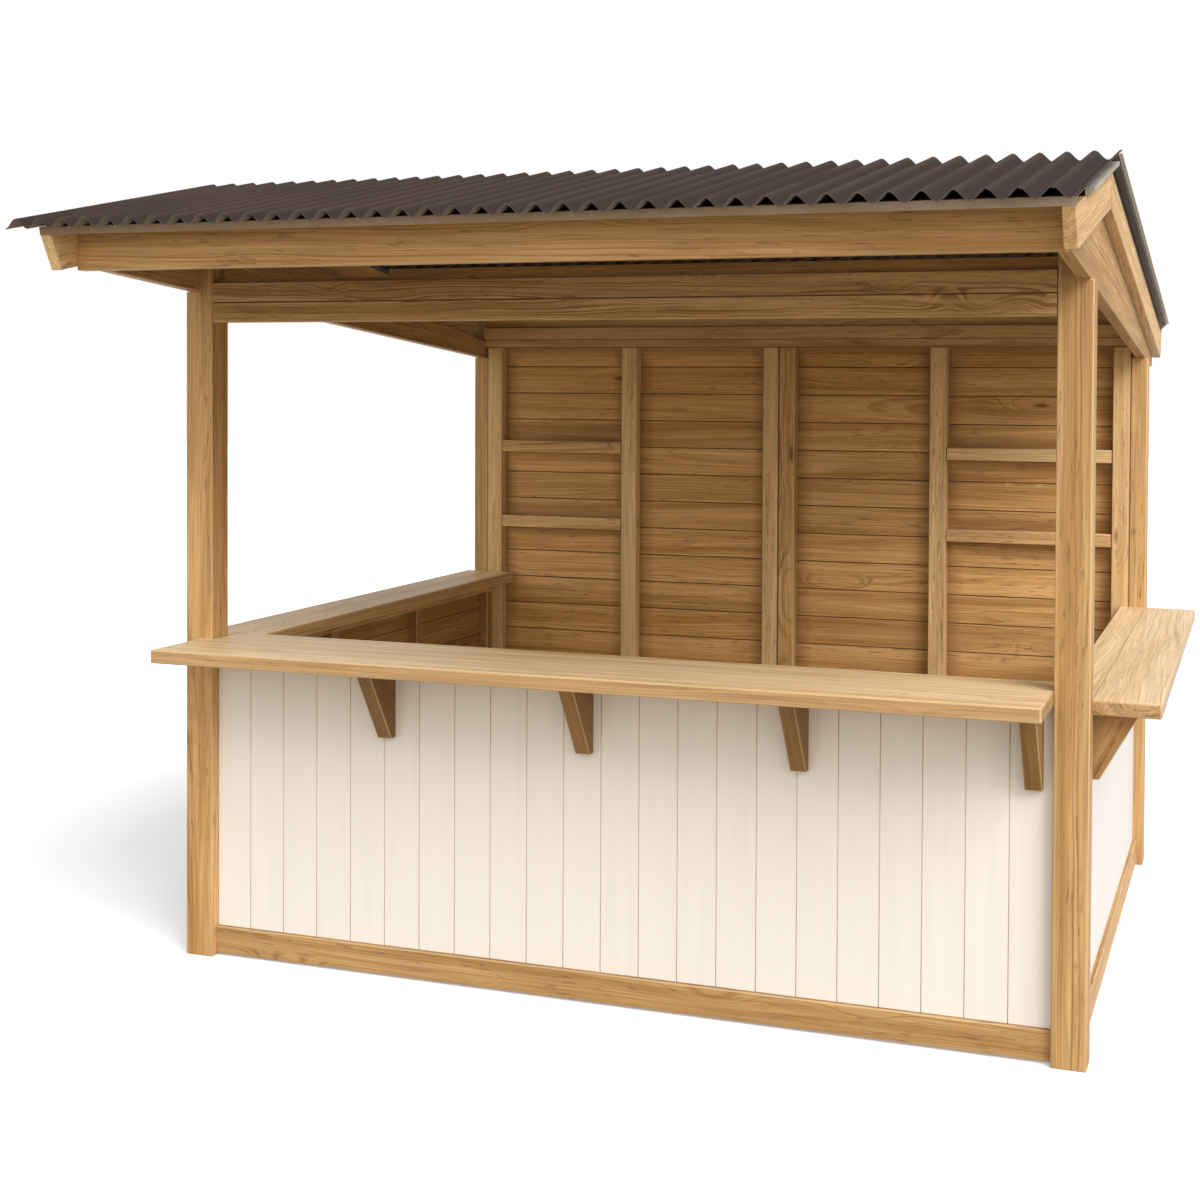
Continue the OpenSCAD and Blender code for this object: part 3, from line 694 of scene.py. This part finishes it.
def direction_of(node):
    """Direction of the longest edges of a CAD node."""
    bm = bmesh.new()
    add_copy(bm, node)
    along = longest_edge(bm.verts)
    bm.free()
    return along


def shade_joints(bm, axis, places):
    """Marks the arrises beside some planes across an axis as dark joints, some of which are painted shadow
    lines.
    """
    arris = bm.faces.layers.float["arris"]
    joint = bm.faces.layers.float.get("joint") or bm.faces.layers.float.new("joint")
    for face in bm.faces:
        middle = face.calc_center_median()[axis]
        if face[arris] and min(abs(middle - place) for place in places) < JOINT_REACH:
            face[joint] = 1.0


def solid_boxes(nodes):
    """Lowest and highest corner of each separate solid of some CAD nodes."""
    boxes = []
    for node in nodes:
        bm = bmesh.new()
        add_copy(bm, node)
        for solid in loose_solids(bm):
            places = [[vert.co[axis] for vert in solid] for axis in (X, Y, Z)]
            boxes.append((Vector(map(min, places)), Vector(map(max, places))))
        bm.free()
    return boxes


def gap_to(place, low, high):
    """Distance of a place from a box, as seen along the depth."""
    return math.hypot(*(max(low[axis] - place[axis], 0.0, place[axis] - high[axis]) for axis in (X, Z)))


def shade_behind(bm, boxes, reach):
    """Cuts a wall's boards round the boxes in front of them, and gives their inner points there painted
    shade, darkest at the boxes.
    """
    for axis, square in ((X, Vector((1, 0, 0))), (Z, Vector((0, 0, 1)))):
        cuts = set()
        for low, high in boxes:
            cuts.update((low[axis] - reach, low[axis], high[axis], high[axis] + reach))
        for cut in sorted(cuts):
            parts = [*bm.verts, *bm.edges, *bm.faces]
            bmesh.ops.bisect_plane(
                bm, geom=parts, dist=MERGE_DISTANCE, plane_co=square * cut, plane_no=square)
    shade = bm.verts.layers.float.new("shade")
    middle = sum(vert.co.y for vert in bm.verts) / len(bm.verts)
    for vert in bm.verts:
        if vert.co.y < middle:
            nearest = min(gap_to(vert.co, *box) for box in boxes)
            vert[shade] = max(0.0, 1 - nearest / reach)


def write_grain(bm, seed):
    """Gives each solid, or all boards of a heart cut, a grain about one pith, a tone and bold figure."""
    grain = bm.verts.layers.float_vector.new("grain")
    tone = bm.verts.layers.float.new("tone")
    figure = bm.faces.layers.float.new("figure")
    bm.normal_update()
    chance = random.Random(seed)
    for solid in [list(bm.verts)] if seed in HEART_CUTS else loose_solids(bm):
        along = direction_of(GRAIN_GUIDES[seed]) if seed in GRAIN_GUIDES else longest_edge(solid)
        level = Vector((0, 0, 1)) if abs(along.z) < UPRIGHT else Vector((0, 1, 0))
        across = along.cross(level).normalized()
        # The pith lies beside the piece and runs a little askew to it
        skew = Matrix.Rotation(chance.uniform(-PITH_TURN, PITH_TURN), 3, "Y")
        skew = skew @ Matrix.Rotation(chance.uniform(-PITH_TURN, PITH_TURN), 3, "Z")
        bearing = chance.uniform(0, 2 * math.pi)
        away = chance.uniform(*PITH_DISTANCE)
        lengthwise = crosswise = 1.0
        if seed in HEART_CUTS:
            bearing = 0.0
            away, lengthwise, crosswise = HEART_CUTS[seed]
        turn = Matrix((along * lengthwise, across * crosswise, along.cross(across) * crosswise))
        pith = Vector((chance.uniform(0, GRAIN_LENGTH), away * math.cos(bearing), away * math.sin(bearing)))
        middle = sum((v.co for v in solid), Vector()) / len(solid)
        # A random tone, shifted on some pieces as painted light and shade
        shade = chance.random() + TONE_AND_LIGHT_SHIFTS.get(seed, 0.0)
        for vert in solid:
            vert[grain] = skew @ (turn @ (vert.co - middle)) + pith
            vert[tone] = shade
            for face in vert.link_faces:
                bold = seed in HEART_CUTS or abs(face.normal.dot(along)) > END_FACING
                face[figure] = 1.0 if bold else 0.0


def finish_piece(bm, name, slot, *nodes):
    """Makes an object of a bmesh, gives it its finish and lets it stand for its CAD nodes."""
    mesh = bpy.data.meshes.new(name)
    bm.to_mesh(mesh)
    bm.free()
    copied_normals = mesh.attributes.get("custom_normal")
    if copied_normals:
        mesh.attributes.remove(copied_normals)
    mesh.materials.append(finish(slot))
    piece = bpy.data.objects.new(name, mesh)
    bpy.context.collection.objects.link(piece)
    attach(piece, "root")
    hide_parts(*nodes)


def finish_timber(bm, node, width, segments, joints, joint_width, shaders=()):
    """Rounds the boards or timbers that stand for a CAD node, darkens their joints, paints shade behind other
    nodes and grains them.
    """
    bevel_edges(bm, [edge for edge in bm.edges if not beside(edge, joints)], width, segments)
    bevel_edges(bm, [edge for edge in bm.edges if beside(edge, joints)], joint_width, segments=1)
    for axis, places in joints:
        shade_joints(bm, axis, places)
    if shaders:
        shade_behind(bm, solid_boxes(shaders), CONTACT_SHADE)
    write_grain(bm, node)
    finish_piece(bm, f"{node}_dressed", slot_of(node), node)


def dress_rafters(nodes, width):
    """Covers the rafters, with painted shadow lines along their tops under the barge boards, but none at the
    ridge or on the beams.
    """
    ridge = ridge_place()
    for node in nodes:
        bm = bmesh.new()
        add_copy(bm, node)
        bevel_edges(bm, bm.edges, width, segments=2)
        bm.normal_update()
        arris = bm.faces.layers.float["arris"]
        joint = bm.faces.layers.float.new("joint")
        # Upper arrises get a painted shadow line, and no arris is paled
        for face in bm.faces:
            if face[arris]:
                at_ridge = abs(face.calc_center_median().y - ridge) < JOINT_REACH
                face[joint] = 1.0 if face.normal.z > 0 and not at_ridge else 0.0
                face[arris] = 0.0
        write_grain(bm, node)
        finish_piece(bm, f"{node}_dressed", slot_of(node), node)


def dress_timbers(nodes, width, joints=()):
    """Covers CAD nodes by timbers of the same shape with rounded arrises."""
    for node in nodes:
        bm = bmesh.new()
        add_copy(bm, node)
        finish_timber(bm, node, width, segments=2, joints=joints, joint_width=width)


def dress_boarding(nodes, axis, board_width, joint, shaders=()):
    """Covers flat CAD nodes by boards side by side, with dark joints, and painted shade behind other nodes.
    """
    for node in nodes:
        bm = bmesh.new()
        joints = [(axis, add_boarding(bm, node, axis, board_width))]
        low, high = corners(node)
        for other in (X, Y, Z):
            if other != axis and high[other] - low[other] > board_width:
                joints.append((other, (low[other], high[other])))
        finish_timber(bm, node, joint, segments=1, joints=joints, joint_width=joint, shaders=shaders)


class STALL_OT_posts(bpy.types.Operator):
    """Cover the four corner posts"""

    bl_idname = "stall.posts"
    bl_label = "Corner Posts"

    def execute(self, context):
        dress_timbers(POSTS, context.scene.stall_sizes.arris)
        return {"FINISHED"}


class STALL_OT_beams(bpy.types.Operator):
    """Cover the side beams, plates and rails, and make the header of boards"""

    bl_idname = "stall.beams"
    bl_label = "Beams And Header"

    def execute(self, context):
        sizes = context.scene.stall_sizes
        dress_timbers(BEAMS, sizes.arris)
        # The back rails' lower arrises get a painted shadow line
        for node in BACK_RAILS:
            dress_timbers((node,), sizes.arris, ((Z, (corners(node)[0].z,)),))
        dress_boarding(("front_header",), Z, sizes.header_board, sizes.board_joint)
        return {"FINISHED"}


class STALL_OT_low_walls(bpy.types.Operator):
    """Cover the rails and studs of the low walls"""

    bl_idname = "stall.low_walls"
    bl_label = "Low Wall Timbers"

    def execute(self, context):
        dress_timbers(LOW_WALL_TIMBERS, context.scene.stall_sizes.arris)
        return {"FINISHED"}


class STALL_OT_back_wall(bpy.types.Operator):
    """Cover the studs and ledges of the back wall"""

    bl_idname = "stall.back_wall"
    bl_label = "Back Wall Timbers"

    def execute(self, context):
        # The studs' and ledges' sides get painted shadow lines
        for node in BACK_WALL_TIMBERS:
            low, high = corners(node)
            dress_timbers((node,), context.scene.stall_sizes.arris, ((X, (low.x, high.x)),))
        return {"FINISHED"}


class STALL_OT_painted_boards(bpy.types.Operator):
    """Make the upright painted boards of the front and right walls"""

    bl_idname = "stall.painted_boards"
    bl_label = "Painted Boards"

    def execute(self, context):
        sizes = context.scene.stall_sizes
        dress_boarding(("front_boards",), X, sizes.painted_board, sizes.painted_joint)
        dress_boarding(("right_boards",), Y, sizes.painted_board, sizes.painted_joint)
        return {"FINISHED"}


class STALL_OT_wall_boards(bpy.types.Operator):
    """Make the level boards of the left and back walls"""

    bl_idname = "stall.wall_boards"
    bl_label = "Wall Boards"

    def execute(self, context):
        sizes = context.scene.stall_sizes
        dress_boarding(("left_boards",), Z, sizes.wall_board, sizes.board_joint)
        for side in ("left", "right"):
            # Painted shade on the back boards round the studs, ledges and top rail in front of them
            shaders = (f"back_{side}_studs", f"{side}_ledges", "back_top_rail")
            dress_boarding((f"back_{side}_boards",), Z, sizes.wall_board, sizes.board_joint, shaders)
        return {"FINISHED"}


class STALL_OT_counters(bpy.types.Operator):
    """Make the counters and the left cap of two boards each, which part at the posts' faces"""

    bl_idname = "stall.counters"
    bl_label = "Counters"

    def execute(self, context):
        sizes = context.scene.stall_sizes
        left_low, left_high = corners("front_left_post")
        right_high = corners("front_right_post")[1]
        front_high = corners("front_counter")[1]
        # Node, axis across its boards, seam, whether the outer board comes first along that axis, and
        # the axis and place at which the inner board starts
        for node, axis, seam, outer_first, other, start in (
                ("front_counter", Y, left_low.y, True, X, left_high.x),
                ("right_counter", X, right_high.x, False, Y, right_high.y),
                ("left_cap", X, left_high.x, True, Y, front_high.y)):
            low, high = corners(node)
            first = between(low, high, axis, low[axis], seam)
            last = between(low, high, axis, seam, high[axis])
            outer, inner = (first, last) if outer_first else (last, first)
            inner[0][other] = start
            bm = bmesh.new()
            add_board(bm, *outer)
            add_board(bm, *inner)
            finish_timber(
                bm, node, sizes.counter_arris, segments=3, joints=((axis, (seam,)),),
                joint_width=sizes.counter_seam)
        return {"FINISHED"}


class STALL_OT_brackets(bpy.types.Operator):
    """Cover the brackets under the counters"""

    bl_idname = "stall.brackets"
    bl_label = "Counter Brackets"

    def execute(self, context):
        dress_timbers(BRACKETS, context.scene.stall_sizes.arris)
        return {"FINISHED"}


class STALL_OT_roof_timbers(bpy.types.Operator):
    """Cover the barge boards, rafters, purlins, ridge beam and fascia boards"""

    bl_idname = "stall.roof_timbers"
    bl_label = "Roof Timbers"

    def execute(self, context):
        arris = context.scene.stall_sizes.arris
        dress_timbers(BARGE_BOARDS, arris, ((Y, (ridge_place(),)),))
        dress_rafters(RAFTERS, arris)
        dress_timbers(ROOF_TIMBERS, arris)
        return {"FINISHED"}


def slope_of(node):
    """Slope of the longest edges of a CAD node that rises along the depth."""
    along = direction_of(node)
    return math.atan2(abs(along.z), abs(along.y))


def dress_sheet(node, barge_boards, towards_back, sizes):
    """Makes a smooth corrugated sheet from its eave up to the ridge, in the place of a CAD node."""
    low, high = corners(node)
    slope = slope_of(barge_boards)
    depth = sizes.wave_height + sizes.sheet_thickness
    width = high.x - low.x
    inset = depth * math.sin(slope)
    length = (high.y - low.y - inset) / math.cos(slope)
    # The waves run from a trough on the left to a crest on the right
    waves = round(width / sizes.wave_pitch - 0.5) + 0.5

    bm = bmesh.new()
    crest = bm.verts.layers.float.new("crest")
    under = bm.faces.layers.float.new("under")
    rim = bm.faces.layers.float.new("rim")
    bmesh.ops.create_grid(
        bm, x_segments=int(waves * sizes.wave_steps), y_segments=sizes.sheet_rows, size=0.5)
    for vert in bm.verts:
        across = vert.co.x + 0.5
        vert[crest] = (1 - math.cos(2 * math.pi * waves * across)) / 2
        vert.co = (width * across, length * (vert.co.y + 0.5), sizes.wave_height * vert[crest])
    whole = [*bm.verts, *bm.edges, *bm.faces]
    bmesh.ops.bisect_plane(
        bm, geom=whole, dist=MERGE_DISTANCE, plane_co=(0, sizes.eave_reach, 0), plane_no=(0, 1, 0))
    lower = list(bm.faces)
    raised = bmesh.ops.extrude_face_region(bm, geom=lower, use_keep_orig=True)["geom"]
    verts = [part for part in raised if isinstance(part, bmesh.types.BMVert)]
    bmesh.ops.translate(bm, vec=(0, 0, sizes.sheet_thickness), verts=verts)
    # The underside takes a share of the rim colour near the eave, as painted light
    for face in lower:
        face[under] = 1.0
        if face.calc_center_median().y < sizes.eave_reach:
            face[rim] = EAVE_UNDERSIDE

    towards = -1 if towards_back else 1
    up_slope = Vector((0, towards * math.cos(slope), math.sin(slope)))
    square = Vector((0, -towards * math.sin(slope), math.cos(slope)))
    eave = Vector((low.x, high.y - inset if towards_back else low.y + inset, low.z))
    place = Matrix((Vector((1, 0, 0)), up_slope, square)).transposed().to_4x4()
    place.translation = eave
    bmesh.ops.transform(bm, matrix=place, verts=bm.verts)
    bmesh.ops.recalc_face_normals(bm, faces=bm.faces)
    for face in bm.faces:
        face.smooth = abs(face.normal.dot(square)) > SHEET_FACING
        # Cut edges take the rim colour, as paler cut edges with a painted highlight, most at the back sheet's
        # gables
        middle = face.calc_center_median().x
        at_gable = min(middle - low.x, high.x - middle) < sizes.sheet_rim
        if at_gable and towards_back and (face[under] or not face.smooth):
            face[rim] = 1.0
        elif not face.smooth:
            face[rim] = EAVE_RIM
    for edge in bm.edges:
        edge.smooth = edge.calc_face_angle() < SHEET_FOLD
    finish_piece(bm, f"{node}_dressed", slot_of(node), node)


class STALL_OT_roof_sheets(bpy.types.Operator):
    """Make the two corrugated roof sheets"""

    bl_idname = "stall.roof_sheets"
    bl_label = "Roof Sheets"

    def execute(self, context):
        sizes = context.scene.stall_sizes
        dress_sheet("front_roof_sheet", "front_barge_boards", False, sizes)
        dress_sheet("back_roof_sheet", "back_barge_boards", True, sizes)
        return {"FINISHED"}


def fade(ends, share):
    """A value between two ends."""
    return ends[0] + (ends[1] - ends[0]) * share


class STALL_OT_metal_edges(bpy.types.Operator):
    """Cover the drip edges and gable flashings, with painted shade at the eaves and behind the ridge"""

    bl_idname = "stall.metal_edges"
    bl_label = "Metal Edges"

    def execute(self, context):
        ridge = ridge_place()
        for node in METAL_STRIPS:
            bm = bmesh.new()
            add_copy(bm, node)
            bevel_edges(bm, bm.edges, context.scene.stall_sizes.metal_fold, segments=2)
            stain_and_shade = bm.verts.layers.float.new("stain_and_shade")
            low, high = corners(node)
            for solid in loose_solids(bm):
                behind = sum(vert.co.y - ridge for vert in solid) > 0
                for vert in solid:
                    # Painted shade, less towards the right on the drip edges, and down the back flashings
                    # from the ridge
                    if node == "eave_drip_edges":
                        share = (vert.co.x - low.x) / (high.x - low.x)
                        vert[stain_and_shade] = fade(DRIP_SHADE, share)
                    elif behind:
                        share = (vert.co.y - ridge) / (high.y - ridge)
                        vert[stain_and_shade] = fade(FLASHING_SHADE, share)
            finish_piece(bm, f"{node}_dressed", slot_of(node), node)
        return {"FINISHED"}


class STALL_OT_stage(bpy.types.Operator):
    """Set up the studio floor, light and camera"""

    bl_idname = "stall.stage"
    bl_label = "Studio"

    def execute(self, context):
        scene = context.scene
        studio = scene.stall_studio

        bm = bmesh.new()
        bmesh.ops.create_grid(bm, x_segments=1, y_segments=1, size=studio.floor_reach)
        mesh = bpy.data.meshes.new("studio_floor")
        bm.to_mesh(mesh)
        bm.free()
        mesh.materials.append(floor_finish("studio_floor", scene.stall_colours.floor))
        floor = bpy.data.objects.new("studio_floor", mesh)
        # The dim half of the sky below lights the undersides in place of the floor
        floor.visible_diffuse = False
        context.collection.objects.link(floor)

        world = bpy.data.worlds.new("studio_light")
        world.use_nodes = True
        world.node_tree.nodes.clear()
        tree = ShaderTree(world.node_tree)
        direction = tree.add("ShaderNodeTexCoord").outputs["Generated"]
        height = tree.add("ShaderNodeSeparateXYZ", {"Vector": direction}).outputs["Z"]
        colour = tree.blend(tree.rise(height, -HORIZON, HORIZON), opaque(studio.bounce), opaque(studio.sky))
        light = tree.add("ShaderNodeBackground", {"Color": colour})
        backdrop = tree.add("ShaderNodeBackground", {"Color": opaque(studio.backdrop)})
        seen = tree.add("ShaderNodeLightPath").outputs["Is Camera Ray"]
        mixed = tree.add("ShaderNodeMixShader", {0: seen, 1: light.outputs[0], 2: backdrop.outputs[0]})
        tree.add("ShaderNodeOutputWorld", {"Surface": mixed.outputs[0]})
        scene.world = world

        for name, energy, colour, spread, source in (
                ("studio_sun", studio.sun, studio.backdrop, studio.sun_spread, studio.sun_from),
                ("studio_fill", studio.fill, studio.fill_colour, studio.fill_spread, studio.fill_from)):
            lamp = bpy.data.lights.new(name, "SUN")
            lamp.energy = energy
            lamp.color = colour
            lamp.angle = spread
            light = bpy.data.objects.new(name, lamp)
            light.rotation_euler = source.to_track_quat("Z", "Y").to_euler()
            context.collection.objects.link(light)

        lens = bpy.data.cameras.new("studio_camera")
        lens.sensor_width = SENSOR_WIDTH
        lens.lens = studio.lens
        lens.shift_y = studio.shift
        camera = bpy.data.objects.new("studio_camera", lens)
        camera.matrix_world = (
            Matrix.Translation(studio.place)
            @ Matrix.Rotation(studio.heading, 4, "Z")
            @ Matrix.Rotation(math.pi / 2 - studio.tilt, 4, "X")
            @ Matrix.Rotation(studio.roll, 4, "Z"))
        context.collection.objects.link(camera)
        scene.camera = camera
        scene.view_settings.view_transform = "Standard"
        return {"FINISHED"}


OPERATORS = (
    STALL_OT_posts, STALL_OT_beams, STALL_OT_low_walls, STALL_OT_back_wall, STALL_OT_painted_boards,
    STALL_OT_wall_boards, STALL_OT_counters, STALL_OT_brackets, STALL_OT_roof_timbers,
    STALL_OT_roof_sheets, STALL_OT_metal_edges, STALL_OT_stage,
)
SETTINGS = {"stall_sizes": StallSizes, "stall_colours": StallColours, "stall_studio": StallStudio}


class STALL_PT_sidebar(bpy.types.Panel):
    """Sidebar panel with the stall's settings and pieces"""

    bl_idname = "STALL_PT_sidebar"
    bl_label = "Market Stall"
    bl_space_type = "VIEW_3D"
    bl_region_type = "UI"
    bl_category = "Market Stall"

    def draw(self, context):
        for name, group in SETTINGS.items():
            box = self.layout.box()
            for setting in group.__annotations__:
                box.prop(getattr(context.scene, name), setting)
        for operator in OPERATORS:
            self.layout.operator(operator.bl_idname)


def register():
    for cls in (*SETTINGS.values(), *OPERATORS, STALL_PT_sidebar):
        bpy.utils.register_class(cls)
    for name, group in SETTINGS.items():
        setattr(bpy.types.Scene, name, bpy.props.PointerProperty(type=group))


def unregister():
    for name in SETTINGS:
        delattr(bpy.types.Scene, name)
    for cls in (STALL_PT_sidebar, *reversed(OPERATORS), *SETTINGS.values()):
        bpy.utils.unregister_class(cls)


def main():
    register()
    for operator in OPERATORS:
        getattr(bpy.ops.stall, operator.bl_idname.split(".")[1])()


if __name__ == "__main__":
    main()
